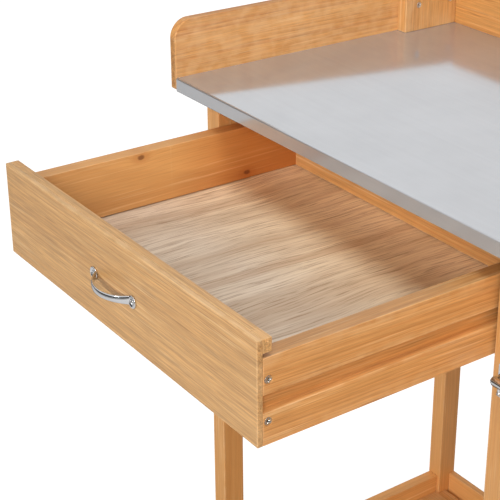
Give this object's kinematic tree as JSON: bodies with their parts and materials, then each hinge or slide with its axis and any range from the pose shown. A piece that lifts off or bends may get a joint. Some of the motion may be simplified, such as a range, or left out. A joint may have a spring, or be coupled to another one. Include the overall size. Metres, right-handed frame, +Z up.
{
  "type": "potting bench",
  "caption": "Timber potting bench with a folded metal worktop, side and back boards, raised shelf on uprights, sliding drawer, cupboard with bolted door and slatted shelf.",
  "frame": {"origin": "on the floor, under the middle of the bench as it stands with its drawer open", "axes": "+X to the right of a person at the bench, +Y from the front to the back, +Z up"},
  "size_m": [1.08, 0.758, 1.2],
  "materials": {
    "fir": "clear satin stain, straight grain",
    "fir_pale": "clear satin stain, paler boards",
    "fir_light": "clear satin stain, warmer boards",
    "plywood": "unfinished matt plywood",
    "zinc_sheet": "smooth galvanised sheet",
    "chrome": "bright plated",
    "steel": "zinc plated, dull"
  },
  "bodies": {
    "frame": {"leg_front_left": "fir", "leg_front_right": "fir", "leg_rear_left": "fir", "leg_rear_right": "fir", "post_front": "fir", "post_rear": "fir", "top_rail_left": "fir", "top_rail_middle": "fir", "top_rail_right": "fir", "top_rail_back": "fir", "front_batten": "fir", "runner_left": "fir", "runner_right": "fir", "low_rail_left": "fir", "low_rail_right": "fir", "low_rail_front": "fir", "low_rail_back": "fir", "shelf_bearers": "fir", "shelf_slats": "fir", "worktop_core": "fir", "metal_top": "zinc_sheet", "side_board_left": "fir_light", "side_board_right": "fir_light", "back_board": "fir_light", "upright_left": "fir", "upright_right": "fir", "raised_shelf": "fir_light", "hook_rail": "fir_light", "hooks": "steel", "cupboard_side_left": "fir", "cupboard_side_right": "fir", "cupboard_back": "fir", "cupboard_shelf": "fir_light", "cupboard_cleats": "fir", "bolt_plate": "chrome", "frame_screws": "steel", "hinge_leaves_fixed": "steel", "hinge_pins": "steel"},
    "drawer": {"drawer_panel": "fir_pale", "drawer_top_rail": "fir_pale", "drawer_corner_blocks": "fir_pale", "drawer_inner_front": "fir", "drawer_side_left": "fir", "drawer_side_right": "fir", "drawer_back": "fir", "drawer_bottom": "plywood", "drawer_handle": "chrome", "drawer_screws": "steel"},
    "door": {"door_stile_left": "fir", "door_stile_right": "fir", "door_rail_top": "fir", "door_rail_bottom": "fir", "door_boards": "fir_pale", "door_handle": "chrome", "door_screws": "steel", "bolt_keeper": "chrome", "hinge_leaves_door": "steel"},
    "bolt": {"bolt": "chrome"}
  },
  "joints": [
    {"name": "drawer_slide", "type": "slide", "parent": "frame", "child": "drawer", "axis": [0, 1, 0], "range_m": [0, 0.29]},
    {"name": "door_hinge", "type": "hinge", "parent": "frame", "child": "door", "pos_m": [0.462, -0.0723, 0.46], "axis": [0, 0, 1], "range_deg": [0, 110]},
    {"name": "bolt_slide", "type": "slide", "parent": "frame", "child": "bolt", "axis": [1, 0, 0], "range_m": [0, 0.009]}
  ]
}
